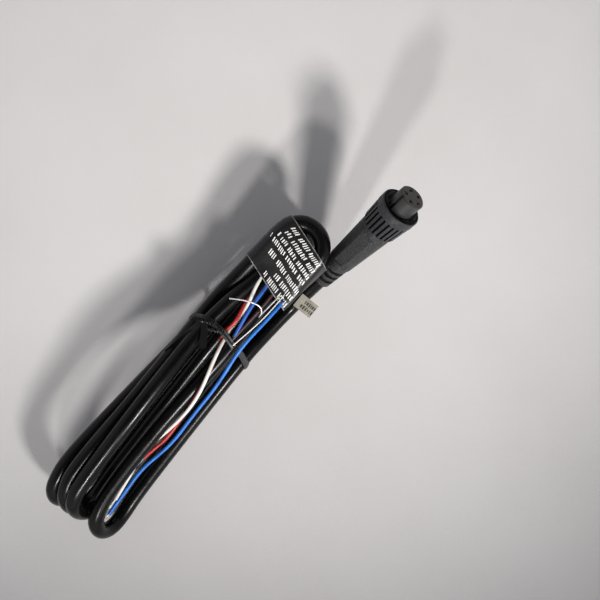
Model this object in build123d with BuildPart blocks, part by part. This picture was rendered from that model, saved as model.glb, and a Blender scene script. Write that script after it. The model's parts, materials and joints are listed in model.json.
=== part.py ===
"""Moulded female sensor cordset: a round plug-in connector on a cable that is tied up in a hank.

The row frame has its origin at the centre of the connector's mating face, +Z up and +X along the
hank, from its folded ends towards the connector. The connector points up and forwards out of the
hank, and the hank lies on a level surface, face_height below the origin.
"""

import os
from math import cos, pi, radians, sin, tan

from build123d import *

os.makedirs("parts", exist_ok=True)

# Placing of the connector
face_height = 45.6  # mating face centre above the surface that the hank lies on
connector_tilt = 43.0  # degrees above level
connector_yaw = 9.7  # degrees from +X towards -Y

# Stations along the connector, measured backwards from the mating face
ring_front = 5.5
band_rear = 9.2
ring_rear = 17.0
seal_front = 6.7
flange_front = 7.7
flange_rear = 9.2
carrier_rear = 12.0
shoulder = 17.2
grip_rear = 40.6
connector_length = 52.2
block_rear = 30.0

# Radii of the connector
insert_r = 4.6
insert_chamfer = 0.25
seal_seat_r = 4.2
seal_wire_r = 0.4
flange_r = 5.25
spigot_r = 4.2
neck_r = 4.95
grip_front_r = 6.2
grip_rear_r = 4.85
relief_front_r = 4.5
relief_rear_r = 4.0
relief_core_r = 3.3
grip_edge = 0.3  # chamfer at the shoulder
relief_step = 0.6  # length of the step from the grip down to the strain relief

# Coupling ring, with a 12 x 1 mm internal thread drawn as plain grooves
thread_crest_r = 5.45
thread_root_r = 6.0
thread_pitch = 1.0
thread_turns = 5
thread_front = 6.4
lip_bore_r = 5.0
lip_front = 14.9
lip_rear = 16.4
relief_groove_r = 6.05
washer_bore_r = 5.75
washer_r = 5.65
washer_thickness = 0.7
ring_rear_r = 6.65
ring_front_r = 7.45
rib_count = 24
groove_width = 0.8
groove_depth = 0.4
index_pad_width = 2.4
index_pad_height = 0.8
ring_edge = 0.5  # chamfers of the ring's front edges

# Keyway and contacts
keyway_angle = -30.0
keyway_width = 1.3
keyway_depth = 0.8
contact_count = 5
contact_circle_r = 2.75
contact_first_angle = -131.0
contact_r = 0.8
contact_bore_r = 0.52
contact_bore_depth = 7.0
contact_recess = 0.5
contact_length = 14.5
cup_bore_r = 0.6
cup_depth = 2.5
core_wire_r = 0.6
core_circle_r = 1.35

# Finger panels and strain-relief slots of the overmould
panel_front = 19.5
panel_rear = 38.0
panel_width = 5.4
panel_depth = 0.45
slot_count = 3
slot_width = 1.5
slot_pitch = 3.0
slot_start = 1.6  # from the rear of the grip to the first slot
web_angle = -40.0
web_width = 3.0

# Cable, conductors, tie, label and tag
cable_r = 2.9
conductor_r = 0.65
strand_r = 0.4
drain_r = 0.25
thread_r = 0.2
tie_width = 2.3
tie_thickness = 0.6
tail_width = 1.6
tie_x = -77.5
tie_tail_height = 25.9
core_end_r = 0.22
core_end_length = 1.8
label_thickness = 0.35
label_centre = (-42.2, 20.0)
label_width = 21.0
label_skew = -14.0
tag_thickness = 0.4
tag_centre = (-49.5, 4.4)
tag_size = (5.6, 7.6)
tag_height = 9.0

# Cable lead, from the overmould down to the table, and clearances
lead_run = 20.0
lead_drift = 2.0  # the lead's last run goes this far towards +Y
fit_gap = 0.05  # between pieces that lie on each other
turned_gap = 0.03  # between the ring's lip and the thrust washer
beyond = 60.0  # longer than any piece that is cut with it

# Directions of the connector
tilt = radians(connector_tilt)
yaw = radians(connector_yaw)
outward = Vector(cos(tilt) * cos(yaw), -cos(tilt) * sin(yaw), sin(tilt))
sideways = Vector(sin(yaw), cos(yaw), 0)
upward = outward.cross(sideways)
connector = Plane(origin=(0, 0, 0), x_dir=upward, z_dir=outward)
section = Plane(origin=(0, 0, 0), x_dir=upward, z_dir=sideways)
connector_axis = Axis((0, 0, 0), outward)
table = Plane.XY.offset(-face_height)


def above_table(x, y, height):
    """A point of the row frame at this height above the surface that the hank lies on."""
    return Vector(x, y, height - face_height)


def behind_face(distance):
    """The point on the connector's axis this far behind the mating face."""
    return outward * -distance


def export(piece, name):
    piece.part.label = name
    export_step(piece.part, f"parts/{name}.step")


# --- Contact carrier: the insert with its keyway, its flange and its spigot ---

carrier_profile = [
    (0, 0),
    (insert_r - insert_chamfer, 0),
    (insert_r, -insert_chamfer),
    (insert_r, -seal_front),
    (seal_seat_r, -seal_front),
    (seal_seat_r, -flange_front),
    (flange_r, -flange_front),
    (flange_r, -flange_rear),
    (spigot_r, -flange_rear),
    (spigot_r, -carrier_rear),
    (0, -carrier_rear),
]


def contact_plane(number, depth):
    """The plane across a contact's own axis, at this depth behind the mating face."""
    angle = radians(contact_first_angle + 360 / contact_count * number)
    centre = Vector(contact_circle_r * cos(angle), contact_circle_r * sin(angle), -depth)
    return Plane(origin=connector.from_local_coords(centre), x_dir=upward, z_dir=outward)


with BuildPart() as contact_carrier:
    with BuildSketch(section):
        with BuildLine():
            Polyline(*carrier_profile, close=True)
        make_face()
    revolve(axis=connector_axis)
    with BuildSketch(connector):
        with PolarLocations(insert_r, 1, start_angle=keyway_angle):
            Rectangle(2 * keyway_depth, keyway_width)
    extrude(amount=-seal_front, mode=Mode.SUBTRACT)
    for number in range(contact_count):
        with BuildSketch(contact_plane(number, 0)):
            Circle(contact_r)
        extrude(amount=-carrier_rear, mode=Mode.SUBTRACT)
export(contact_carrier, "contact_carrier")

with BuildPart() as sealing_ring:
    with BuildSketch(section):
        with Locations((seal_seat_r + seal_wire_r, -(seal_front + flange_front) / 2)):
            Circle(seal_wire_r)
    revolve(axis=connector_axis)
export(sealing_ring, "sealing_ring")

# --- Socket contacts, each with a pin bore in front and a wire cup behind ---

contacts = []
for number in range(contact_count):
    with BuildPart() as socket_contact:
        with BuildSketch(contact_plane(number, contact_recess)):
            Circle(contact_r)
        extrude(amount=-contact_length)
        with BuildSketch(contact_plane(number, contact_recess)):
            Circle(contact_bore_r)
        extrude(amount=-contact_bore_depth, mode=Mode.SUBTRACT)
        with BuildSketch(contact_plane(number, contact_recess + contact_length)):
            Circle(cup_bore_r)
        extrude(amount=cup_depth, mode=Mode.SUBTRACT)
    export(socket_contact, f"socket_contact_{number + 1}")
    contacts.append(socket_contact)

# --- Core wires, from the end of the cable's jacket to the contacts ---

core_wires = []
for number in range(contact_count):
    angle = radians(contact_first_angle + 360 / contact_count * number)
    at_cable = Vector(core_circle_r * cos(angle), core_circle_r * sin(angle), -block_rear)
    start = connector.from_local_coords(at_cable)
    end = contact_plane(number, contact_recess + contact_length + 0.1).origin
    with BuildPart() as core_wire:
        with BuildSketch(Plane(origin=start, z_dir=end - start)):
            Circle(core_wire_r)
        extrude(amount=(end - start).length)
    export(core_wire, f"core_wire_{number + 1}")
    core_wires.append(core_wire)

# --- Inner block that is moulded round the contacts before the grip is ---

with BuildPart() as inner_block:
    with BuildSketch(connector.offset(-carrier_rear)):
        Circle(spigot_r)
    extrude(amount=carrier_rear - block_rear)
    for contact in contacts:
        add(contact.part, mode=Mode.SUBTRACT)
    for number in range(contact_count):
        with BuildSketch(contact_plane(number, contact_recess + contact_length)):
            Circle(contact_r)
        extrude(amount=cup_depth, mode=Mode.SUBTRACT)
    for core_wire in core_wires:
        add(core_wire.part, mode=Mode.SUBTRACT)
export(inner_block, "inner_block")

# --- Overmould: neck, grip and slotted strain relief in one soft moulding ---

overmould_profile = [
    (spigot_r, -flange_rear),
    (neck_r, -flange_rear),
    (neck_r, -shoulder),
    (grip_front_r - grip_edge, -shoulder),
    (grip_front_r, -shoulder - grip_edge),
    (grip_rear_r, -grip_rear + relief_step),
    (relief_front_r, -grip_rear),
    (relief_rear_r, -connector_length),
    (cable_r, -connector_length),
    (cable_r, -block_rear),
    (spigot_r, -block_rear),
]
panel_taper = (grip_front_r - grip_rear_r) / (grip_rear - shoulder)
panel_cutter = 4.0  # how far the cutter of a panel reaches outwards

with BuildPart() as overmould:
    with BuildSketch(section):
        with BuildLine():
            Polyline(*overmould_profile, close=True)
        make_face()
    revolve(axis=connector_axis)
    for side in (1, -1):
        # a shallow finger panel, whose floor follows the grip's taper
        for station in (panel_front, panel_rear):
            floor_r = grip_front_r - panel_taper * (station - shoulder) - panel_depth
            with BuildSketch(connector.offset(-station)):
                with Locations((side * (floor_r + panel_cutter / 2), 0)):
                    Rectangle(panel_cutter, panel_width)
        loft(mode=Mode.SUBTRACT)
    for number in range(slot_count):
        station = grip_rear + slot_start + number * slot_pitch
        with BuildSketch(connector.offset(-station)):
            Circle(grip_rear_r + 1)
            Circle(relief_core_r, mode=Mode.SUBTRACT)
            with PolarLocations(0, 1, start_angle=web_angle):
                Rectangle(4 * grip_rear_r, web_width, mode=Mode.SUBTRACT)
        extrude(amount=-slot_width, mode=Mode.SUBTRACT)
export(overmould, "overmould")

# --- Thrust washer, which slides on the neck ahead of the coupling ring's rear lip ---

with BuildPart() as thrust_washer:
    with BuildSketch(connector.offset(-lip_rear - turned_gap)):
        Circle(washer_r)
        Circle(lip_bore_r, mode=Mode.SUBTRACT)
    extrude(amount=-washer_thickness)
export(thrust_washer, "thrust_washer")

# --- Coupling ring, turned about the connector's axis ---

thread_profile = []
for number in range(thread_turns):
    crest = -thread_front - number * thread_pitch
    thread_profile.append((thread_crest_r, crest))
    thread_profile.append((thread_root_r, crest - thread_pitch / 2))

thread_end = -thread_front - thread_turns * thread_pitch
ring_profile = [
    (thread_root_r + 0.15, -ring_front),
    *thread_profile,
    (thread_crest_r, thread_end),
    (thread_crest_r, thread_end - 0.6),
    (relief_groove_r, thread_end - 0.6),
    (relief_groove_r, -lip_front),
    (lip_bore_r, -lip_front),
    (lip_bore_r, -lip_rear),
    (washer_bore_r, -lip_rear),
    (washer_bore_r, -ring_rear),
    (ring_rear_r, -ring_rear),
    (ring_front_r - 0.15, -band_rear),
    (ring_front_r, -band_rear + groove_depth),
    (ring_front_r, -ring_front - ring_edge),
    (ring_front_r - ring_edge, -ring_front),
]

with BuildPart() as grip_groove:
    # the cutter for one groove between two ribs, in the connector's own axes
    for station, radius in ((ring_rear + 0.2, ring_rear_r), (band_rear, ring_front_r - 0.15)):
        with BuildSketch(Plane.XY.offset(-station)):
            with Locations((radius, 0)):
                Rectangle(2 * groove_depth, groove_width)
    loft()

with BuildPart(connector) as coupling_ring:
    with BuildSketch(section):
        with BuildLine():
            Polyline(*ring_profile, close=True)
        make_face()
    revolve(axis=connector_axis)
    with PolarLocations(0, rib_count):
        add(grip_groove.part, mode=Mode.SUBTRACT)
    with BuildSketch(connector.offset(-band_rear)):
        # a flat pad across the smooth band marks the keyway's side
        with PolarLocations(ring_front_r - 0.1, 1, start_angle=keyway_angle):
            Rectangle(index_pad_height, index_pad_width)
    extrude(amount=band_rear - ring_front - ring_edge)
export(coupling_ring, "coupling_ring")

# --- Cable lead, straight inside the overmould and then bent down on to the table ---

lead_corner = behind_face((face_height - cable_r - fit_gap) / sin(tilt))
lead_end = lead_corner + Vector(-lead_run, lead_drift, 0)
lead_radius = 0.45 * lead_run / tan(tilt / 2)


def cord_tube(points, radius, bend_radii):
    """A plain round tube along straight runs joined by tangent arcs."""
    with BuildPart() as tube:
        with BuildLine() as route:
            FilletPolyline(*points, radius=bend_radii)
        with BuildSketch(Plane(origin=points[0], z_dir=points[1] - points[0])):
            Circle(radius)
        sweep(path=route.wires()[0])
    length = route.wires()[0].length
    share = tube.part.volume / (pi * radius**2 * length)
    print("cord", round(length, 1), "mm, volume over section x length", round(share, 4))
    return tube


cable_lead = cord_tube([behind_face(block_rear), lead_corner, lead_end], cable_r, [lead_radius])
print("cable_lead bend radius", round(lead_radius, 1))
export(cable_lead, "cable_lead")

# --- Cable hank: the outer shape of the oval turns, narrow and lifted at its waist ---

hank_plan = [
    (-163.2, 7.2),
    (-163.2, 30.0),
    (-157.5, 37.0),
    (-147.0, 39.0),
    (-129.0, 37.5),
    (-108.0, 33.3),
    (-40.0, 33.3),
    (-27.5, 28.5),
    (-23.8, 21.0),
    (-24.4, 14.5),
    (-32.5, 9.6),
    (-60.0, 8.6),
    (-118.0, 7.2),
]
hank_side = [
    (-163.2, 4.0),
    (-158.0, 0.0),
    (-115.0, 0.0),
    (-95.0, 4.5),
    (-72.0, 4.5),
    (-55.0, 0.0),
    (-28.0, 0.0),
    (-23.8, 5.0),
    (-23.8, 22.0),
    (-28.0, 27.0),
    (-45.0, 25.0),
    (-90.0, 25.0),
    (-112.0, 29.0),
    (-135.0, 29.5),
    (-154.0, 26.5),
    (-163.2, 19.0),
]
front_turn_step = [(-170, 0), (-170, 17.0), (-106, 17.0), (-92, 0)]
front_turn_height = 13.0


def hank_block(grow):
    """The hank's outer shape, grown by this much all round."""
    with BuildPart() as block:
        with BuildSketch(table):
            with BuildLine():
                Polyline(*hank_plan, close=True)
            make_face()
            offset(amount=grow, kind=Kind.INTERSECTION)
        extrude(amount=beyond)
        with BuildSketch(Plane.XZ.offset(-beyond)):
            with BuildLine():
                Polyline(*[(x, height - face_height) for x, height in hank_side], close=True)
            make_face()
            offset(amount=grow, kind=Kind.INTERSECTION)
        extrude(amount=2 * beyond, mode=Mode.INTERSECT)
    return block.part


def label_band(width, height):
    """A block of this height across the hank where the label is, standing on the table."""
    across = Vector(1, 0, 0).rotate(Axis.Z, label_skew)
    with BuildPart() as band:
        with BuildSketch(Plane(origin=above_table(*label_centre, 0), x_dir=across)):
            Rectangle(width, 2 * beyond)
        extrude(amount=height)
    return band.part


# the label passes between the hank and the table
under_label = label_band(label_width + 2 * fit_gap, label_thickness + fit_gap)

with BuildPart() as cable_hank:
    add(hank_block(0))
    add(under_label, mode=Mode.SUBTRACT)
    with BuildSketch(table.offset(front_turn_height)):
        # the foremost turn leans over, so its side of the hank is low
        with BuildLine():
            Polyline(*front_turn_step, close=True)
        make_face()
    extrude(amount=beyond, mode=Mode.SUBTRACT)
export(cable_hank, "cable_hank")

# --- Label wrapped round the hank's upper end, and the tag stuck to its side ---

with BuildPart() as inside_label:
    add(hank_block(fit_gap))
    add(under_label, mode=Mode.SUBTRACT)

with BuildPart() as wiring_label:
    add(label_band(label_width, beyond))
    add(hank_block(label_thickness + fit_gap), mode=Mode.INTERSECT)
    add(inside_label.part, mode=Mode.SUBTRACT)
export(wiring_label, "wiring_label")

with BuildPart() as marker_tag:
    with BuildSketch(table.offset(tag_height)):
        with Locations(tag_centre):
            Rectangle(*tag_size)
    extrude(amount=tag_thickness)
export(marker_tag, "marker_tag")

# --- Twist tie round the waist, with its twisted tails and the wire inside it ---

tail_routes = {
    "long": [(-77.5, 27.0), (-85.0, 30.5), (-93.3, 31.8)],
    "short": [(-77.5, 27.0), (-80.5, 25.6), (-83.1, 23.3)],
}
with BuildPart() as twist_tie:
    with BuildSketch(Plane(origin=above_table(tie_x, 0, 0))):
        Rectangle(tie_width, 2 * beyond)
    extrude(amount=beyond)
    add(hank_block(tie_thickness + fit_gap), mode=Mode.INTERSECT)
    add(hank_block(fit_gap), mode=Mode.SUBTRACT)
    for route in tail_routes.values():
        with BuildSketch(table.offset(tie_tail_height - tie_thickness)):
            with BuildLine():
                Polyline(*route)
            trace(line_width=tail_width)
        extrude(amount=tie_thickness)
export(twist_tie, "twist_tie")

with BuildPart() as tie_core_wire:
    tail_end = tail_routes["long"][-1]
    core_start = above_table(tail_end[0] - 0.9, tail_end[1] + 0.1, tie_tail_height - tie_thickness / 2)
    with BuildSketch(Plane(origin=core_start, z_dir=(-1, 0.15, 0))):
        Circle(core_end_r)
    extrude(amount=core_end_length)
export(tie_core_wire, "tie_core_wire")

# --- Conductors that come out from under the label and lie along the hank ---

conductor_routes = {
    "wire_blue": [
        (-48, 11.6, 22.8), (-60, 12.3, 24.3), (-77, 13.0, 23.9), (-91, 12.7, 22.5),
        (-104, 13.7, 20.5), (-118, 14.9, 18.5), (-131, 15.4, 16.5), (-145, 15.2, 14.9),
    ],
    "wire_dark_blue": [(-43.5, 20.6, 22.6), (-54, 20.3, 25.1), (-65, 19.2, 25.3), (-76, 17.0, 23.2)],
    "wire_white": [
        (-45, 22.6, 23.4), (-54, 23.4, 25.4), (-64, 21.8, 25.8), (-75.5, 19.2, 24.0),
        (-87, 16.4, 25.4), (-100, 15.6, 23.4), (-114, 16.9, 22.0), (-127, 16.6, 19.6),
        (-139, 15.8, 17.2),
    ],
    "wire_red": [
        (-46, 22.3, 21.6), (-55, 22.9, 23.6), (-66, 20.4, 24.4), (-79, 17.9, 22.6),
        (-91, 15.1, 23.8), (-103, 14.3, 22.2), (-116, 14.6, 20.4), (-129, 16.1, 18.4),
    ],
    "wire_brown": [(-43.5, 16.2, 22.4), (-54, 16.9, 24.3), (-65, 16.4, 24.2), (-76, 15.2, 22.2)],
}
stripped_ends = {
    "wire_blue": (-151.5, 14.1, 14.1),
    "wire_white": (-151.0, 14.6, 15.2),
    "wire_red": (-133.5, 16.8, 17.5),
}


def bend_radii(points):
    """One radius for each corner: 0.45 of its shorter run over the tangent of half its turn."""
    radii = []
    for before, corner, after in zip(points, points[1:], points[2:]):
        shorter = min((corner - before).length, (after - corner).length)
        turn = radians((corner - before).get_angle(after - corner))
        radii.append(0.45 * shorter / tan(turn / 2))
    return radii


for name, route in conductor_routes.items():
    points = [above_table(*point) for point in route]
    radii = bend_radii(points)
    print(name, "bend radii", [round(radius) for radius in radii])
    conductor = cord_tube(points, conductor_r, radii)
    export(conductor, name)
    if name in stripped_ends:
        end = above_table(*stripped_ends[name])
        with BuildPart() as strands:
            with BuildSketch(Plane(origin=points[-1], z_dir=end - points[-1])):
                Circle(strand_r)
            extrude(amount=(end - points[-1]).length)
        export(strands, name.replace("wire", "strands"))

# --- Bare drain wire with its curled end, and a loose filler thread beside it ---

drain_route = [
    (-45.0, 13.8, 23.0), (-52.5, 13.2, 24.6), (-59.0, 12.6, 26.6), (-62.6, 13.6, 28.6), (-62.3, 16.2, 30.0),
    (-60.3, 18.4, 31.0), (-60.9, 21.4, 31.4), (-62.2, 24.2, 31.0), (-64.0, 26.9, 30.4),
]
thread_route = [(-45.5, 14.8, 23.2), (-55.0, 14.4, 25.6), (-65.5, 13.3, 26.2), (-76.5, 15.4, 24.3)]
for name, route, radius in (
    ("drain_wire", drain_route, drain_r),
    ("filler_thread", thread_route, thread_r),
):
    points = [above_table(*point) for point in route]
    radii = bend_radii(points)
    print(name, "bend radii", [round(bend, 1) for bend in radii])
    export(cord_tube(points, radius, radii), name)
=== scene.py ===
"""Looks of the moulded sensor cordset: a round connector on a black cable that is tied up in a hank.

Lengths in the tables are in millimetres and heights are above the table, as in the part's source.
MM, above_table() and behind_face() turn them into the row frame's metres.
"""

import json
import math
import random

import bmesh
import bpy
import numpy as np
from mathutils import Matrix, Vector


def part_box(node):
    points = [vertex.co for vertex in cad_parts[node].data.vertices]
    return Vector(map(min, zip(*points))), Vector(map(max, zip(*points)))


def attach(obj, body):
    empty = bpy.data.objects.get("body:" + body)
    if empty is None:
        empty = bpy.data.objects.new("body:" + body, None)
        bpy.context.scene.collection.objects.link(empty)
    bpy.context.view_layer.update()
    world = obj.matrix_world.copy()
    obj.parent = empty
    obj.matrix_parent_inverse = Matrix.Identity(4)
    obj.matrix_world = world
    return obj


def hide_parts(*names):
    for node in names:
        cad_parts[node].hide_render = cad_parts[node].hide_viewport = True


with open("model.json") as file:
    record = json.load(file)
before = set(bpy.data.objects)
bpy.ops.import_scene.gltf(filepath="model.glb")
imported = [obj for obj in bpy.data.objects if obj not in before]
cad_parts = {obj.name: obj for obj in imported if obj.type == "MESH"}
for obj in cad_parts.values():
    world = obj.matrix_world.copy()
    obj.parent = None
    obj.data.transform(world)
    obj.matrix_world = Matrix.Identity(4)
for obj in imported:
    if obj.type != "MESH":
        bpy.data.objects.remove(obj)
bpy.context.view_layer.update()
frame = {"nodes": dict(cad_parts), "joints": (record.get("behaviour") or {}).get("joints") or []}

MM = 0.001
table_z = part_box("cable_hank")[0].z
outward = Vector(frame["joints"][0]["axis"]).normalized()  # the connector's axis, out of its face


def above_table(x, y, height):
    """A point of the row frame at this height above the table, all in millimetres."""
    return Vector((x * MM, y * MM, table_z + height * MM))


def behind_face(distance):
    """The point of the connector's axis this far, in millimetres, behind its mating face."""
    return outward * (-distance * MM)


# --- Camera, as high above the hank as the picture was taken ---

camera_place = (-49.2, 7.5, 300.0)
picture_turn = -51.1  # degrees: the hank lies across the picture from lower left to upper right
lens = 46.8

camera = bpy.data.objects.new("camera", bpy.data.cameras.new("camera"))
bpy.context.collection.objects.link(camera)
camera.location = above_table(*camera_place)
camera.rotation_euler = (0, 0, math.radians(picture_turn))
camera.data.sensor_width = 36.0
camera.data.lens = lens
camera.data.clip_start = 0.01
bpy.context.scene.camera = camera


# --- Pieces and their lines ---


def linked(name, data):
    """A new object with this data, which rides on the cordset: no piece made here turns or slides."""
    piece = bpy.data.objects.new(name, data)
    bpy.context.collection.objects.link(piece)
    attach(piece, "cordset")
    return piece


def mesh_piece(name, built, smooth=True):
    """A new piece with this bmesh as its mesh."""
    bmesh.ops.recalc_face_normals(built, faces=built.faces)
    data = bpy.data.meshes.new(name)
    built.to_mesh(data)
    built.free()
    for face in data.polygons:
        face.use_smooth = smooth
    return linked(name, data)


def join_rings(mesh, rings, closed=False):
    """Faces from each ring of corners to the next, and from the last to the first if closed."""
    next_rings = rings[1:] + (rings[:1] if closed else [])
    for first, second in zip(rings, next_rings):
        for corner in range(len(first)):
            following = (corner + 1) % len(first)
            mesh.faces.new((first[corner], first[following], second[following], second[corner]))


def nurbs_cord(name, points, diameter, round_steps=6, along_steps=10):
    """A round cord along one smooth spline, with these points as its control points."""
    curve = bpy.data.curves.new(name, "CURVE")
    curve.dimensions = "3D"
    curve.bevel_depth = 1.0  # the points' own radius, in metres, sets the thickness
    curve.bevel_resolution = round_steps
    curve.use_fill_caps = True
    spline = curve.splines.new("NURBS")
    spline.points.add(len(points) - 1)
    for control, point in zip(spline.points, points):
        control.co = (*point, 1)
        control.radius = diameter / 2
    spline.order_u = 3
    spline.use_endpoint_u = True
    spline.resolution_u = along_steps
    return linked(name, curve)


def line_of(cord):
    """The points of a cord's own centreline, in order."""
    bare = bpy.data.objects.new("bare_line", cord.data.copy())
    bare.data.bevel_depth = 0
    bpy.context.collection.objects.link(bare)
    mesh = bpy.data.meshes.new_from_object(bare.evaluated_get(bpy.context.evaluated_depsgraph_get()))
    points = [Vector(vertex.co) for vertex in mesh.vertices]
    bpy.data.meshes.remove(mesh)
    bpy.data.objects.remove(bare)
    return points


def smooth_line(points, along_steps=10):
    """The points of one smooth spline that has the given ones as its control points."""
    route = nurbs_cord("route", points, 0, along_steps=along_steps)
    line = line_of(route)
    bpy.data.objects.remove(route)
    return line


def measured_length(cord):
    """A cord's length along its centreline, in metres to a tenth of a millimetre."""
    line = line_of(cord)
    return round(sum((b - a).length for a, b in zip(line, line[1:])), 4)


def in_millimetres(points):
    """These points in millimetres, with their heights above the table."""
    return [Vector((p.x / MM, p.y / MM, (p.z - table_z) / MM)) for p in points]


# --- Cable: out of the overmould, down to the table, and round the four turns of the hank ---

cable_diameter = 5.8
jacket_start = 30.0  # behind the mating face, inside the overmould
lead_points = [(-45.1, 7.7, 2.95), (-65.1, 9.7, 2.95)]

# Across and height of each turn's legs at these places along the hank, from the far folds to the label.
# The lead runs into the first lower leg, so that one has only the far three places.
leg_x = (-145.0, -112.0, -80.0, -65.0, -50.0)
lower_legs = [
    ((9.8, 2.9), (10.3, 4.5), (10.6, 6.6)),
    ((16.2, 2.9), (16.8, 4.6), (17.0, 7.4), (16.8, 5.0), (16.2, 2.9)),
    ((28.5, 2.9), (28.9, 4.6), (28.8, 7.4), (28.2, 5.0), (28.3, 2.9)),
    ((22.4, 2.9), (22.8, 4.6), (22.9, 7.4), (22.5, 5.0), (22.3, 2.9)),
]
upper_legs = [
    ((18.2, 20.8), (18.4, 22.2), (16.2, 21.8), (17.0, 20.8), (18.0, 19.5)),
    ((26.7, 29.0), (27.2, 33.5), (28.2, 25.4), (26.6, 24.2), (23.8, 21.6)),
    ((36.3, 21.4), (33.2, 24.0), (31.0, 14.2), (30.2, 14.6), (29.8, 17.0)),
    ((31.9, 26.0), (30.3, 28.9), (31.2, 20.0), (31.0, 20.0), (29.4, 23.2)),
]
# Centre, reach, and how far the middle of the fold leans over, for each fold
far_folds = [(-150.0, 11.6, -3.5), (-147.5, 11.6, -1.1), (-150.3, 11.6, -2.2), (-148.5, 11.6, -3.4)]
near_folds = [(-39.0, 9.0, 0.8), (-40.5, 9.0, 0.0), (-37.5, 9.5, -2.0)]
fold_steps = 6
last_fold_centre = (-34.9, 19.5)
last_fold_r = 8.6
last_fold_height = 26.0
last_fold_degrees = (75, 45, 15, -15, -45, -75)  # from +X, level round the hank's end
jacket_end = [(-41.0, 11.4, 24.2), (-48.0, 12.0, 21.3)]


def fold(start, end, centre_x, reach, lean):
    """The points of an upright fold between two legs, where start and end are across and height."""
    points = []
    for step in range(1, fold_steps):
        angle = math.pi * step / fold_steps
        share = (1 - math.cos(angle)) / 2
        across = start[0] + share * (end[0] - start[0]) + lean * math.sin(angle)
        height = start[1] + share * (end[1] - start[1])
        points.append((centre_x + reach * math.sin(angle), across, height))
    return points


def hank_points():
    """The control points of the whole hank, one turn after another."""
    points = []
    for turn, (lower, upper) in enumerate(zip(lower_legs, upper_legs)):
        points += [(x, *leg) for x, leg in reversed(list(zip(leg_x, lower)))]
        centre_x, reach, lean = far_folds[turn]
        points += fold(lower[0], upper[0], centre_x, -reach, lean)
        points += [(x, *leg) for x, leg in zip(leg_x, upper)]
        if turn < len(near_folds):
            points += fold(upper[-1], lower_legs[turn + 1][-1], *near_folds[turn])
    for degrees in last_fold_degrees:
        angle = math.radians(degrees)
        x = last_fold_centre[0] + last_fold_r * math.cos(angle)
        y = last_fold_centre[1] + last_fold_r * math.sin(angle)
        points.append((x, y, last_fold_height))
    return points + jacket_end


cable = nurbs_cord(
    "cable",
    [behind_face(jacket_start)] + [above_table(*point) for point in lead_points + hank_points()],
    cable_diameter * MM,
    round_steps=10,
    along_steps=16,
)
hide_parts("cable_lead", "cable_hank")


# --- Conductors that come out from under the label, with their tinned ends ---

conductor_diameter = 1.3
conductor_routes = {
    "wire_blue": [
        (-48, 11.6, 22.8), (-60, 11.9, 24.2), (-75, 13.3, 26.2), (-91, 11.3, 23.4), (-106, 11.4, 20.6),
        (-119, 10.9, 18.2), (-133, 13.8, 15.9), (-144, 13.2, 14.8), (-154.4, 12.7, 13.6),
    ],
    "wire_dark_blue": [(-43.5, 20.4, 22.8), (-54, 19.6, 25.2), (-65, 19.2, 25.6), (-74.5, 17.2, 25.1)],
    "wire_white": [
        (-45, 24.0, 22.8), (-53, 23.4, 24.6), (-63.5, 20.2, 25.2), (-69, 20.3, 23.0), (-75, 20.1, 23.4),
        (-84, 18.0, 26.9), (-96, 14.4, 26.0), (-106, 13.7, 23.6), (-118, 15.4, 19.8), (-127, 17.0, 17.2),
        (-135, 16.0, 16.8), (-141, 15.1, 16.4), (-148, 14.2, 15.6),
    ],
    "wire_red": [
        (-46, 23.0, 21.6), (-55, 22.8, 22.8), (-61, 22.1, 23.8), (-66.5, 20.9, 25.6), (-70.5, 20.2, 26.1),
        (-75, 21.7, 24.0), (-79, 19.8, 23.0), (-86, 17.0, 24.6), (-96, 15.4, 24.2), (-103, 14.5, 22.8),
        (-110, 13.9, 20.8), (-118, 13.5, 20.4), (-124, 14.8, 19.8), (-129, 15.6, 18.6),
    ],
    "wire_brown": [(-43.5, 16.4, 22.6), (-55, 16.2, 24.4), (-65, 16.6, 24.5), (-75, 17.3, 25.2)],
}
drain_diameter = 0.5
drain_points = [
    (-45.0, 13.8, 23.0), (-53.0, 14.0, 24.4), (-60.5, 14.8, 25.6), (-63.4, 15.0, 27.2), (-61.2, 14.8, 29.4),
    (-59.4, 16.6, 30.8), (-60.4, 20.4, 31.3), (-62.2, 24.0, 31.1), (-64.1, 26.8, 30.4),
]
thread_diameter = 0.4
thread_points = [
    (-45.5, 13.0, 23.2), (-53.0, 12.9, 24.4), (-62.0, 13.3, 25.8), (-69.0, 14.4, 26.4), (-76.5, 15.8, 25.8),
]

conductors = {}
for name, route in conductor_routes.items():
    conductors[name] = nurbs_cord(
        name.replace("wire", "conductor"), [above_table(*point) for point in route], conductor_diameter * MM
    )
    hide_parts(name)

drain = nurbs_cord("drain", [above_table(*point) for point in drain_points], drain_diameter * MM)
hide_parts("drain_wire")
filler = nurbs_cord("filler", [above_table(*point) for point in thread_points], thread_diameter * MM)
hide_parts("filler_thread")

# --- Stripped ends of the conductors ---

outer_strands = 6
strand_r = 0.13
strand_corners = 8
lay_r = 0.27  # from the middle strand's centre to the others', where the insulation ends
lay_spread = 0.25  # how much further apart the strands get towards their end, as a share of that
twist_pitch = 4.0
# Where the strands of a conductor end
stripped_ends = {
    "wire_blue": (-156.6, 12.8, 13.0),
    "wire_white": (-152.2, 14.0, 14.9),
    "wire_red": (-133.5, 15.9, 17.3),
}


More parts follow.
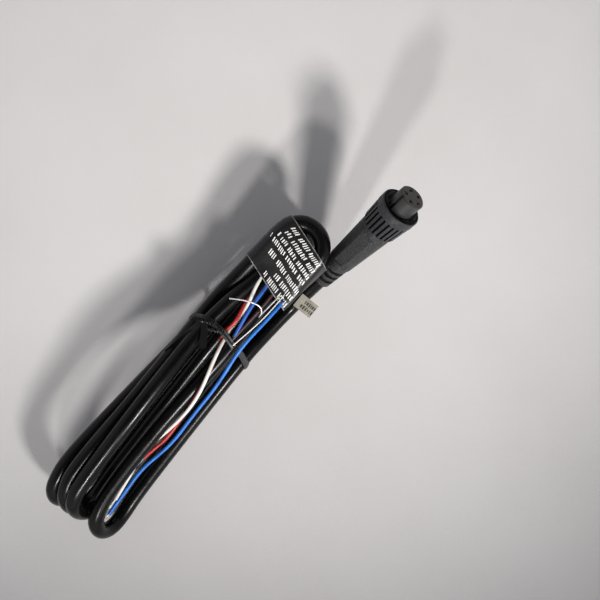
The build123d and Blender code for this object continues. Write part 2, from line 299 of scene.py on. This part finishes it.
def strands(name, start, end):
    """Seven tinned strands, six twisted round one, from a conductor's end to their own end."""
    line = smooth_line([start, start.lerp(end, 0.5), end])
    forward = (end - start).normalized()
    side = forward.cross(Vector((0, 0, 1))).normalized()
    up = side.cross(forward)

    def around(centre, angle, radius):
        return centre + radius * MM * (math.cos(angle) * side + math.sin(angle) * up)

    mesh = bmesh.new()
    for strand in range(outer_strands + 1):
        rings = []
        for step, point in enumerate(line):
            travel = (point - start).length / MM
            spread = 0.0 if strand == outer_strands else lay_r * (1 + lay_spread * step / len(line))
            angle = 2 * math.pi * (strand / outer_strands + travel / twist_pitch)
            centre = around(point, angle, spread)
            corners = [2 * math.pi * corner / strand_corners for corner in range(strand_corners)]
            rings.append([mesh.verts.new(around(centre, corner, strand_r)) for corner in corners])
        join_rings(mesh, rings)
        mesh.faces.new(rings[0][::-1])
        mesh.faces.new(rings[-1])
    return mesh_piece(name, mesh)


stripped = {}
for name, end in stripped_ends.items():
    stripped[name] = strands(
        name.replace("wire", "tinned_strands"), above_table(*conductor_routes[name][-1]), above_table(*end)
    )
    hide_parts(name.replace("wire", "strands"))

# --- Taut wraps: what a film or ribbon follows when it is pulled tight round the hank ---

cable_r = cable_diameter / 2
lead_end_x = -66.0  # the lead comes in under the label up to here, and the wraps leave it out
film_bend = [(-34.0, 8.1, 22.5), (-45.5, 9.8, 22.5), (-57.0, 11.0, 22.1)]  # the film's own stiff bend
film_bend_r = 1.1
film_bend_steps = 60
wrap_clearance = 0.35
cord_steps = 24  # points round each cord
outline_steps = 2000
underside_band = 0.5  # the underside is what is no higher than this above the lowest point


def bent_line(corners, count):
    """Points spread over the straight runs between these corners."""
    steps = np.linspace(0, len(corners) - 1, count)
    axes = [np.interp(steps, range(len(corners)), axis) for axis in zip(*corners)]
    return [Vector(point) for point in zip(*axes)]


hank_line = in_millimetres(line_of(cable))
lead_end = next(k for k, point in enumerate(hank_line) if point.x < lead_end_x)
tied_lines = [(hank_line[lead_end:], cable_r)]
for conductor in conductors.values():
    tied_lines.append((in_millimetres(line_of(conductor)), conductor_diameter / 2))
tied_lines.append((bent_line(film_bend, film_bend_steps), film_bend_r))


def convex_outline(points):
    """The convex hull of points in a plane, as a list of corners going round it."""
    points = sorted(set(points))

    def half(ordered):
        chain = []
        for point in ordered:
            while len(chain) > 1:
                (ax, ay), (bx, by) = chain[-2], chain[-1]
                if (bx - ax) * (point[1] - ay) - (by - ay) * (point[0] - ax) > 0:
                    break
                chain.pop()
            chain.append(point)
        return chain[:-1]

    return half(points) + half(points[::-1])


def cut_points(lines, centre, normal):
    """Points across and up, round each cord where a plane cuts it. Across is measured from centre.

    Each of the lines is a cord's points and its radius.
    """
    across = Vector((-normal.y, normal.x, 0))
    spots = []
    for line, cord_r in lines:
        for point in line:
            distance = (point - centre).dot(normal)
            if abs(distance) < cord_r:
                radius = math.sqrt(cord_r**2 - distance**2) + wrap_clearance
                side = (point - centre).dot(across)
                for step in range(cord_steps):
                    angle = 2 * math.pi * step / cord_steps
                    height = point.z + radius * math.sin(angle)
                    spots.append((round(side + radius * math.cos(angle), 3), round(height, 3)))
    return spots


def wrap(lines, centre, normal, count):
    """Evenly spaced points of a taut wrap round the cords, from halfway along its underside."""
    outline = convex_outline(cut_points(lines, centre, normal))
    outline.append(outline[0])
    lengths = [math.dist(a, b) for a, b in zip(outline, outline[1:])]
    travelled = np.concatenate([[0], np.cumsum(lengths)])
    sides, heights = np.array(outline).T
    fine = np.linspace(0, travelled[-1], outline_steps, endpoint=False)
    fine_side = np.interp(fine, travelled, sides)
    fine_height = np.interp(fine, travelled, heights)
    low = fine_height < fine_height.min() + underside_band
    middle = (fine_side[low].min() + fine_side[low].max()) / 2
    start = np.argmin(np.where(low, np.abs(fine_side - middle), np.inf))
    places = (fine[start] + np.linspace(0, travelled[-1], count, endpoint=False)) % travelled[-1]
    return np.stack([np.interp(places, travelled, sides), np.interp(places, travelled, heights)], 1)


# --- Wiring label: a black film wrapped round the upper end of the hank ---

label_normal = Vector((0.951, -0.309, 0.0))
label_across = Vector((-label_normal.y, label_normal.x, 0.0))
label_edges = (-56.1, -35.3)  # distance of the film's two cut edges from the origin, along the normal
label_stations = 27
edge_line = 0.3  # width of the pale line along each cut edge
label_around = 240
film_thickness = 0.25
film_lowest = 0.03
film_smoothings = 3

even_places = np.linspace(*label_edges, label_stations - 2)
line_places = (label_edges[0] + edge_line, label_edges[1] - edge_line)
station_places = np.sort(np.concatenate([even_places, line_places]))
film = np.stack([
    wrap(tied_lines, label_normal * float(place), label_normal, label_around) for place in station_places
])
for smoothing in range(film_smoothings):  # along the hank, since a film bridges what lies under it
    padded = np.concatenate([film[:1], film, film[-1:]])
    film = (padded[:-2] + 2 * padded[1:-1] + padded[2:]) / 4
film[:, :, 1] = np.maximum(film[:, :, 1], film_lowest)


def film_point(station, around, lift=0.0):
    """A point of the film, for fractional indices along and round it."""
    low = min(int(station), label_stations - 2)
    share = station - low
    first = int(around) % label_around
    second = (first + 1) % label_around
    between = around - int(around)
    row_low = film[low, first] * (1 - between) + film[low, second] * between
    row_high = film[low + 1, first] * (1 - between) + film[low + 1, second] * between
    side, height = row_low * (1 - share) + row_high * share
    before = film[low, (first - 1) % label_around]
    after = film[low, (second + 1) % label_around]
    along = (after - before) / np.linalg.norm(after - before)
    side += along[1] * lift
    height -= along[0] * lift
    place = station_places[low] + share * (station_places[low + 1] - station_places[low])
    flat = label_normal * float(place) + label_across * float(side)
    return above_table(flat.x, flat.y, max(float(height), film_lowest))


def station_at(distance):
    """The fractional station this far from the cut edge nearest the wires."""
    return float(np.interp(distance + label_edges[0], station_places, range(label_stations)))


def build_label():
    """The film, whose cut edges and the pale lines along them have the second material."""
    mesh = bmesh.new()
    outside, inside = [], []
    for station in range(label_stations):
        outside.append([mesh.verts.new(film_point(station, k)) for k in range(label_around)])
        inside.append([mesh.verts.new(film_point(station, k, -film_thickness)) for k in range(label_around)])
    for k in range(label_around):
        following = (k + 1) % label_around
        for station in range(label_stations - 1):
            for grid in (outside, inside):
                near, far = grid[station], grid[station + 1]
                face = mesh.faces.new((near[k], near[following], far[following], far[k]))
                face.material_index = int(station in (0, label_stations - 2))
        for outer, inner in ((outside[0], inside[0]), (outside[-1], inside[-1])):
            rim = mesh.faces.new((outer[k], inner[k], inner[following], outer[following]))
            rim.material_index = 1
    return mesh


label = mesh_piece("label_film", build_label())
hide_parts("wiring_label")

# Printed rows of plain bars: distance of each row from the cut edge nearest the wires, height of its
# bars, and how far from the bend beside the lead the row reaches, in millimetres
print_rows = [
    (1.7, 2.0, 15.0), (4.6, 2.0, 11.5), (7.7, 2.0, 18.5), (11.0, 1.7, 21.5), (13.5, 1.7, 19.2),
    (16.1, 1.7, 17.8), (18.7, 1.7, 17.0),
]
bend_clearance = 0.8
print_lift = 0.02
bar_widths = (0.28, 0.52)
bar_gaps = (0.38, 0.62)
bar_heights = (0.75, 1.0)  # as a share of the row's
run_lengths = (3.0, 8.0)
run_gaps = (0.7, 1.2)


def build_print():
    """The bars, as patches laid on the film. They are in uneven runs, and spell nothing."""
    chance = random.Random(7)
    mesh = bmesh.new()
    for place, height, reach in print_rows:
        station_row = film[int(round(station_at(place)))]
        # the bend is where the film turns from the top of the hank down its side; across the top the
        # film's points run towards it
        bend = int(np.argmax(station_row[:, 1] - station_row[:, 0]))
        step = math.dist(station_row[bend], station_row[(bend - 1) % label_around])
        travel = bend_clearance
        while travel < reach:
            run_end = min(travel + chance.uniform(*run_lengths), reach)
            while travel < run_end:
                bar = chance.uniform(*bar_widths)
                tall = height * chance.uniform(*bar_heights)
                centre = place + (height - tall) * chance.choice((-0.5, 0.0, 0.5))
                corners = []
                for along, side in ((0, -1), (bar, -1), (bar, 1), (0, 1)):
                    at = station_at(centre + side * tall / 2)
                    around = (bend - (travel + along) / step) % label_around
                    corners.append(mesh.verts.new(film_point(at, around, print_lift)))
                mesh.faces.new(corners)
                travel += bar + chance.uniform(*bar_gaps)
            travel += chance.uniform(*run_gaps)
    return mesh


label_print = mesh_piece("label_bars", build_print())

# --- Marker tag's marks, in two rows across the tag ---

mark_rows = (-48.6, -50.6)
marks_from = 0.8
marks_to = 5.8
marks_height = 9.43  # just above the tag
mark_widths = (0.35, 0.8)
mark_lengths = (0.9, 1.5)
mark_gaps = (0.25, 0.45)


def build_tag_marks():
    """The marks, as patches just above the tag."""
    chance = random.Random(3)
    mesh = bmesh.new()
    for row_x in mark_rows:
        y = marks_from
        while y < marks_to:
            width = chance.uniform(*mark_widths)
            half = chance.uniform(*mark_lengths) / 2
            corners = []
            for along, across in ((-half, 0), (half, 0), (half, width), (-half, width)):
                corners.append(mesh.verts.new(above_table(row_x + along, y + across, marks_height)))
            mesh.faces.new(corners)
            y += width + chance.uniform(*mark_gaps)
    return mesh


tag_marks = mesh_piece("tag_marks", build_tag_marks())

# --- Twist tie: a ribbon with a wire in it, round the waist, twisted on top, with two tails ---

ribbon_width = 2.3
ribbon_thickness = 0.55
# Profiles across and up, as shares of the width and the thickness
ribbon_profile = [
    (-0.5, 0.25), (-0.42, 0.5), (-0.16, 0.5), (0.0, 0.95), (0.16, 0.5), (0.42, 0.5), (0.5, 0.25),
    (0.5, -0.25), (0.42, -0.5), (0.0, -0.5), (-0.42, -0.5), (-0.5, -0.25),
]
ribbed_profile = [
    (-0.5, 0.3), (-0.40, 0.8), (-0.30, 0.2), (-0.17, 0.2), (-0.1, 0.9), (0.0, 0.2), (0.1, 0.2),
    (0.2, 0.9), (0.3, 0.2), (0.4, 0.8), (0.5, 0.3), (0.5, -0.4), (0.0, -0.5), (-0.5, -0.4),
]
band_x = -77.5
# The band leans along the hank: its place along the hank for a place across it
band_lean_y = (7.0, 8.5, 11.8, 14.5, 21.0, 27.5, 31.4, 34.0)
band_lean_x = (-82.0, -80.2, -77.9, -77.0, -75.0, -74.4, -75.8, -78.2)
band_under_x = -79.0
band_under_height = 3.0  # up to here the band counts as under the hank
band_lowest = 0.3
band_steps = 120
band_smoothings = 6
twist_route = [
    (-77.4, 32.4, 26.6), (-76.6, 31.0, 28.2), (-75.4, 29.0, 28.9), (-74.6, 26.0, 28.8), (-74.6, 23.2, 28.0),
    (-75.2, 21.2, 26.8),
]
twist_steps = 70
twist_half_turns = 5
twist_width = 1.9
long_tail = [
    (-75.6, 30.2, 28.6), (-77.6, 29.6, 28.4), (-81.5, 30.4, 27.2), (-86.5, 31.2, 25.8), (-93.2, 32.4, 25.4),
]
long_tail_steps = 40
long_tail_side = Vector((-0.2, -1, 0.05))
short_tail = [(-76.2, 28.4, 28.4), (-77.6, 27.2, 29.2), (-80.4, 25.2, 29.6), (-83.4, 23.2, 30.4)]
short_tail_steps = 24
short_tail_side = Vector((0.55, -0.85, 0.0))
short_tail_width = 2.4
short_tail_thickness = 0.7
loose_strand = [(-75.2, 21.2, 27.2), (-75.6, 23.0, 28.6), (-76.8, 25.6, 28.8), (-77.2, 27.2, 28.6)]
loose_strand_steps = 40
loose_strand_half_turns = 3
loose_strand_width = 1.5


def sweep(mesh, points, sideways, width, profile=ribbon_profile, closed=False, thickness=ribbon_thickness):
    """A ribbon along points, whose width lies along the sideways direction given at each of them."""
    rings = []
    for k, point in enumerate(points):
        before = points[k - 1] if closed or k else point
        after = points[(k + 1) % len(points)] if closed or k < len(points) - 1 else point
        forward = (after - before).normalized()
        side = (sideways[k] - sideways[k].dot(forward) * forward).normalized()
        up = side.cross(forward)
        rings.append([
            mesh.verts.new(point + side * (across * width * MM) + up * (height * thickness * MM))
            for across, height in profile
        ])
    join_rings(mesh, rings, closed)
    if not closed:
        mesh.faces.new(rings[0])
        mesh.faces.new(rings[-1][::-1])


def smooth_path(route, count):
    """Evenly spaced points along the smooth spline that has the route as its control points."""
    line = smooth_line([above_table(*point) for point in route], along_steps=12)
    spots = np.array([tuple(p) for p in line])
    travelled = np.concatenate([[0], np.cumsum(np.linalg.norm(np.diff(spots, axis=0), axis=1))])
    places = np.linspace(0, travelled[-1], count)
    return [Vector([float(np.interp(p, travelled, spots[:, axis])) for axis in range(3)]) for p in places]


def turning(points, half_turns, start=0.0):
    """Sideways directions that make this many half turns along the points."""
    sides = []
    for k in range(len(points)):
        forward = (points[min(k + 1, len(points) - 1)] - points[max(k - 1, 0)]).normalized()
        level = forward.cross(Vector((0, 0, 1))).normalized()
        sides.append(Matrix.Rotation(start + k / len(points) * math.pi * half_turns, 3, forward) @ level)
    return sides


def band_points():
    """The tie's closed turn round the hank, under it and leaning over its top."""
    band = []
    along_hank = Vector((1, 0, 0))
    for side, height in wrap([(hank_line, cable_r)], band_x * along_hank, along_hank, band_steps):
        leaning = float(np.interp(side, band_lean_y, band_lean_x))
        x = leaning if height > band_under_height else band_under_x
        band.append(above_table(x, float(side), max(float(height), band_lowest)))
    for smoothing in range(band_smoothings):
        band = [(band[k - 1] + 2 * band[k] + band[(k + 1) % len(band)]) / 4 for k in range(len(band))]
    return band


def build_tie():
    """The band, the twist of its two ends, and the two tails and the strand that stand off from it."""
    mesh = bmesh.new()
    band = band_points()
    sweep(mesh, band, [Vector((-1, 0, 0))] * len(band), ribbon_width, closed=True)
    twist = smooth_path(twist_route, twist_steps)
    for start in (0.0, math.pi / 2):
        sweep(mesh, twist, turning(twist, twist_half_turns, start), twist_width)
    tail = smooth_path(long_tail, long_tail_steps)
    sweep(mesh, tail, [long_tail_side] * long_tail_steps, ribbon_width)
    tail = smooth_path(short_tail, short_tail_steps)
    sweep(
        mesh, tail, [short_tail_side] * short_tail_steps, short_tail_width,
        profile=ribbed_profile, thickness=short_tail_thickness,
    )
    strand = smooth_path(loose_strand, loose_strand_steps)
    sweep(mesh, strand, turning(strand, loose_strand_half_turns), loose_strand_width)
    return mesh


tie = mesh_piece("tie_ribbon", build_tie(), smooth=False)
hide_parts("twist_tie")

# --- Light and table ---

table_size = 3.0  # metres
table = bpy.data.objects.new("table", bpy.data.meshes.new("table"))
bpy.context.collection.objects.link(table)
grid = bmesh.new()
bmesh.ops.create_grid(grid, x_segments=1, y_segments=1, size=table_size / 2)
grid.to_mesh(table.data)
grid.free()
table.location = (0, 0, table_z)


def spot_lamp(name, place, aim, spread, power, size):
    """A spot lamp that points at a spot on the table. The spread is in degrees, the size in metres."""
    lamp = bpy.data.objects.new(name, bpy.data.lights.new(name, "SPOT"))
    bpy.context.collection.objects.link(lamp)
    lamp.location = above_table(*place)
    lamp.rotation_euler = (above_table(*aim, 0) - lamp.location).to_track_quat("-Z", "Y").to_euler()
    lamp.data.shadow_soft_size = size
    lamp.data.spot_size = math.radians(spread)
    lamp.data.spot_blend = 1.0
    lamp.data.energy = power
    lamp.data.color = (1.0, 0.975, 0.945)


# The further lamp is the brighter, and the nearer one throws the connector's long pale shadow
spot_lamp("near_lamp", (-377, -180, 309), aim=(600, 440), spread=84.0, power=6.0, size=0.024)
spot_lamp("far_lamp", (-228, -490, 475), aim=(191, 535), spread=64.3, power=25.7, size=0.055)


def studio():
    """A room that is pale at the sides and dim overhead, where the camera is."""
    world = bpy.data.worlds.new("studio")
    world.use_nodes = True
    nodes, links = world.node_tree.nodes, world.node_tree.links
    direction = nodes.new("ShaderNodeTexCoord")
    upward = nodes.new("ShaderNodeSeparateXYZ")
    dimming = nodes.new("ShaderNodeMapRange")
    background = nodes["Background"]
    background.inputs["Color"].default_value = (0.95, 0.955, 1.0, 1)
    for name, value in {"From Min": 0.60, "From Max": 0.88, "To Min": 0.57, "To Max": 0.05}.items():
        dimming.inputs[name].default_value = value
    links.new(direction.outputs["Generated"], upward.inputs[0])
    links.new(upward.outputs["Z"], dimming.inputs["Value"])
    links.new(dimming.outputs["Result"], background.inputs["Strength"])
    return world


bpy.context.scene.world = studio()
bpy.context.scene.view_settings.view_transform = "Standard"


# --- Materials ---


class Nodes:
    """Short ways to build one material's node tree."""

    def __init__(self, name):
        self.material = bpy.data.materials.new(name)
        self.material.use_nodes = True
        self.tree = self.material.node_tree
        self.shader = self.tree.nodes["Principled BSDF"]
        self.place = self.tree.nodes.new("ShaderNodeTexCoord").outputs["Object"]

    def node(self, kind, **values):
        """A new node, with what goes into its sockets, or its own settings, by name."""
        made = self.tree.nodes.new("ShaderNode" + kind)
        for key, value in values.items():
            key = key.replace("_", " ")
            if key in made.inputs:
                self.feed(made.inputs[key], value)
            else:
                setattr(made, key.replace(" ", "_"), value)
        return made

    def feed(self, socket, value):
        """Link a socket to another node's output, or set its value."""
        if isinstance(value, bpy.types.NodeSocket):
            self.tree.links.new(value, socket)
        else:
            socket.default_value = value

    def set(self, **values):
        """Feed the shader's own sockets, by name."""
        for key, value in values.items():
            self.feed(self.shader.inputs[key.replace("_", " ")], value)

    def noise(self, scale, detail=3.0):
        """Noise from 0 to 1 with this many blobs to the metre."""
        texture = self.node("TexNoise", Scale=scale, Detail=detail, Roughness=0.55, Vector=self.place)
        return texture.outputs["Fac"]

    def span(self, value, low, high, start=0.3, stop=0.7):
        """A value from start to stop, spread over low to high."""
        mapped = self.node("MapRange")
        for socket, number in zip(mapped.inputs[:5], (value, start, stop, low, high)):
            self.feed(socket, number)
        return mapped.outputs["Result"]

    def mix(self, share, first, second):
        """The first colour, with this share of the second one mixed in."""
        blend = self.tree.nodes.new("ShaderNodeMix")
        blend.data_type = "RGBA"
        self.feed(blend.inputs["Factor"], share)
        self.feed(blend.inputs["A"], first)
        self.feed(blend.inputs["B"], second)
        return blend.outputs["Result"]

    def mottled(self, scale, first, second):
        """Blobs of two colours at this scale."""
        return self.mix(self.span(self.noise(scale), 0, 1), colour(*first), colour(*second))

    def math(self, operation, first, second=0.0):
        made = self.node("Math", operation=operation)
        self.feed(made.inputs[0], first)
        self.feed(made.inputs[1], second)
        return made.outputs[0]

    def bump(self, height, depth, strength=1.0):
        """Bump of this depth in metres, added to the shader's normal."""
        made = self.node("Bump", Strength=strength, Distance=depth, Height=height)
        self.feed(self.shader.inputs["Normal"], made.outputs["Normal"])


def colour(red, green, blue):
    return (red, green, blue, 1.0)


def plastic(name, dark, light, rough, grain, depth, sheen_scale=60.0, shine=0.5):
    """A moulded plastic: slight mottling between two colours, uneven gloss, and a fine grain.

    The scales of the grain and the sheen are in blobs to the metre, and the grain's depth is in
    millimetres.
    """
    made = Nodes(name)
    made.set(Base_Color=made.mottled(sheen_scale, dark, light), Specular_IOR_Level=shine)
    made.set(Roughness=made.span(made.noise(sheen_scale * 3), rough - 0.06, rough + 0.08))
    made.bump(made.noise(grain, detail=2.0), depth * MM)
    return made.material


def metal(name, dull, bright, rough, grain=900.0):
    """A bare metal, mottled at the grain's scale, with a finer unevenness in its gloss and surface."""
    made = Nodes(name)
    made.set(Base_Color=made.mottled(grain, dull, bright), Metallic=1.0)
    made.set(Roughness=made.span(made.noise(grain * 2), rough - 0.08, rough + 0.1))
    made.bump(made.noise(grain * 4), 0.01 * MM)
    return made.material


def jacket_material():
    """Black PVC: a soft gloss, faint flow lines and a little dust."""
    made = Nodes("cable_jacket")
    dust = made.span(made.noise(2600.0, detail=1.0), 0, 1, 0.68, 0.78)
    base = made.mottled(90.0, (0.0014, 0.0014, 0.0015), (0.0034, 0.0034, 0.0036))
    made.set(Base_Color=made.mix(made.math("MULTIPLY", dust, 0.15), base, colour(0.12, 0.12, 0.12)))
    made.set(Roughness=made.span(made.noise(220.0), 0.20, 0.31), Specular_IOR_Level=0.23)
    made.bump(made.noise(1400.0, detail=2.0), 0.02 * MM)
    return made.material


def table_material():
    """A plain pale cloth, with a weave of fine threads and a few soft waves."""
    made = Nodes("table_cloth")
    threads = []
    for direction in ("X", "Y"):
        wave = made.node("TexWave", bands_direction=direction, Scale=620.0, Distortion=1.2, Detail=1.0)
        made.feed(wave.inputs["Vector"], made.place)
        threads.append(wave.outputs["Fac"])
    weave = made.math("MAXIMUM", *threads)
    tone = made.mottled(9.0, (0.60, 0.585, 0.58), (0.66, 0.65, 0.65))
    shade = made.math("MULTIPLY", weave, 0.08)
    made.set(Base_Color=made.mix(shade, tone, colour(0.45, 0.45, 0.46)), Roughness=0.9)
    made.bump(made.math("ADD", weave, made.math("MULTIPLY", made.noise(14.0), 6.0)), 0.08 * MM, 0.6)
    return made.material


def insulation(name, dark, light):
    """The thin, slightly waxy insulation of a conductor."""
    return plastic(name, dark, light, rough=0.38, grain=2200.0, depth=0.02, sheen_scale=240.0)


cable.data.materials.append(jacket_material())
table.data.materials.append(table_material())

insulation_colours = {
    "blue": ((0.004, 0.10, 0.42), (0.008, 0.17, 0.62)),
    "dark_blue": ((0.010, 0.065, 0.31), (0.022, 0.11, 0.47)),
    "white": ((0.62, 0.60, 0.56), (0.78, 0.76, 0.73)),
    "red": ((0.30, 0.012, 0.009), (0.46, 0.030, 0.022)),
    # brown: a dark brown, made darker still as painted shade for the shadow it lies in among the other
    # conductors
    "brown": ((0.016, 0.005, 0.004), (0.040, 0.011, 0.008)),
}
for name, conductor in conductors.items():
    shade = name.replace("wire_", "")
    conductor.data.materials.append(insulation(shade + "_insulation", *insulation_colours[shade]))
tinned = metal("tinned_wire", (0.66, 0.65, 0.63), (0.88, 0.87, 0.85), 0.50)
drain.data.materials.append(tinned)
filler.data.materials.append(plastic(
    "thread_fibre", (0.70, 0.69, 0.66), (0.82, 0.81, 0.79),
    rough=0.7, grain=3000.0, depth=0.04,
))


def ring_material():
    """Moulded charcoal plastic, with painted shade in the grooves between the ribs: darker colour and less
    gloss there.
    """
    made = Nodes("ring_plastic")
    along = made.node("VectorMath", operation="DOT_PRODUCT")
    made.feed(along.inputs[0], made.place)
    made.feed(along.inputs[1], tuple(outward))
    on_axis = made.node("VectorMath", operation="SCALE")
    made.feed(on_axis.inputs[0], tuple(outward))
    made.feed(on_axis.inputs["Scale"], along.outputs["Value"])
    from_axis = made.node("VectorMath", operation="DISTANCE")
    made.feed(from_axis.inputs[0], made.place)
    made.feed(from_axis.inputs[1], on_axis.outputs["Vector"])
    # the ribs' tops get wider towards the front; what lies under them but outside the bore gets painted
    # shade
    rib_rear, rib_front = -17.0 * MM, -9.0 * MM
    rib_rear_r, rib_front_r = 6.65 * MM, 7.30 * MM
    bore_r = 6.16 * MM
    top = made.span(along.outputs["Value"], rib_rear_r, rib_front_r, rib_rear, rib_front)
    sunk = made.math("SUBTRACT", top, from_axis.outputs["Value"])
    painted_groove_shade = made.span(sunk, 0, 1, 0.06 * MM, 0.22 * MM)
    outside = made.span(from_axis.outputs["Value"], 0, 1, bore_r, bore_r + 0.06 * MM)
    dark = made.math("MULTIPLY", painted_groove_shade, outside)
    charcoal = made.mottled(900.0, (0.010, 0.011, 0.014), (0.026, 0.027, 0.032))
    # painted shade: the grooves' colour is mixed towards near black, and their specular level is lowered
    made.set(Base_Color=made.mix(dark, charcoal, colour(0.001, 0.001, 0.001)))
    made.set(Roughness=made.span(made.noise(700.0), 0.34, 0.50))
    made.set(Specular_IOR_Level=made.math("SUBTRACT", 0.5, made.math("MULTIPLY", dark, 0.45)))
    made.bump(made.noise(1500.0, detail=2.0), 0.05 * MM)
    return made.material


def finish(piece, material):
    """This material instead of whatever the piece has."""
    piece.data.materials.clear()
    piece.data.materials.append(material)


# Pieces of the CAD: the node, its material's name, two colours, and the roughness, the grain and its depth
moulded = [
    ("contact_carrier", "carrier_plastic", (0.020, 0.020, 0.021), (0.034, 0.034, 0.036), 0.40, 1300.0, 0.02),
    ("inner_block", "inner_block_plastic", (0.03, 0.03, 0.03), (0.05, 0.05, 0.05), 0.5, 900.0, 0.03),
    ("thrust_washer", "washer_plastic", (0.30, 0.29, 0.27), (0.38, 0.37, 0.35), 0.4, 900.0, 0.02),
    ("sealing_ring", "seal_rubber", (0.010, 0.010, 0.010), (0.018, 0.018, 0.018), 0.6, 1500.0, 0.03),
]
for node, *looks in moulded:
    finish(frame["nodes"][node], plastic(*looks))
finish(frame["nodes"]["coupling_ring"], ring_material())
finish(frame["nodes"]["overmould"], plastic(
    "grip_plastic", (0.002, 0.002, 0.0025), (0.026, 0.026, 0.028),
    rough=0.44, grain=2600.0, depth=0.28, sheen_scale=1500.0,
))
finish(frame["nodes"]["marker_tag"], plastic(
    "tag_paper", (0.27, 0.25, 0.20), (0.36, 0.34, 0.28),
    rough=0.6, grain=2500.0, depth=0.04, sheen_scale=400.0,
))
finish(frame["nodes"]["tie_core_wire"], tinned)
gold = metal("contact_gold", (0.95, 0.48, 0.24), (1.0, 0.66, 0.40), 0.40)
for number in range(1, 6):
    finish(frame["nodes"][f"socket_contact_{number}"], gold)
    finish(frame["nodes"][f"core_wire_{number}"], bpy.data.materials["white_insulation"])

label.data.materials.append(plastic(
    "label_vinyl", (0.007, 0.007, 0.008), (0.012, 0.012, 0.013),
    rough=0.30, grain=700.0, depth=0.03, shine=0.42,
))
label.data.materials.append(plastic(
    "label_cut_edge", (0.05, 0.05, 0.05), (0.30, 0.30, 0.30),
    rough=0.5, grain=2000.0, depth=0.02, sheen_scale=900.0,
))
label_print.data.materials.append(plastic(
    "label_ink", (0.66, 0.66, 0.64), (0.80, 0.80, 0.78),
    rough=0.5, grain=3000.0, depth=0.01,
))
tag_marks.data.materials.append(plastic(
    "tag_ink", (0.02, 0.02, 0.02), (0.05, 0.05, 0.05),
    rough=0.6, grain=2500.0, depth=0.01,
))
tie.data.materials.append(plastic(
    "tie_plastic", (0.003, 0.003, 0.0035), (0.009, 0.009, 0.010),
    rough=0.30, grain=1500.0, depth=0.03, shine=0.28,
))
for piece in stripped.values():
    piece.data.materials.append(tinned)


# --- The cords' lengths, measured along their centrelines and not kept ---

for name, conductor in conductors.items():
    measured_length(conductor)
measured_length(drain)
measured_length(filler)
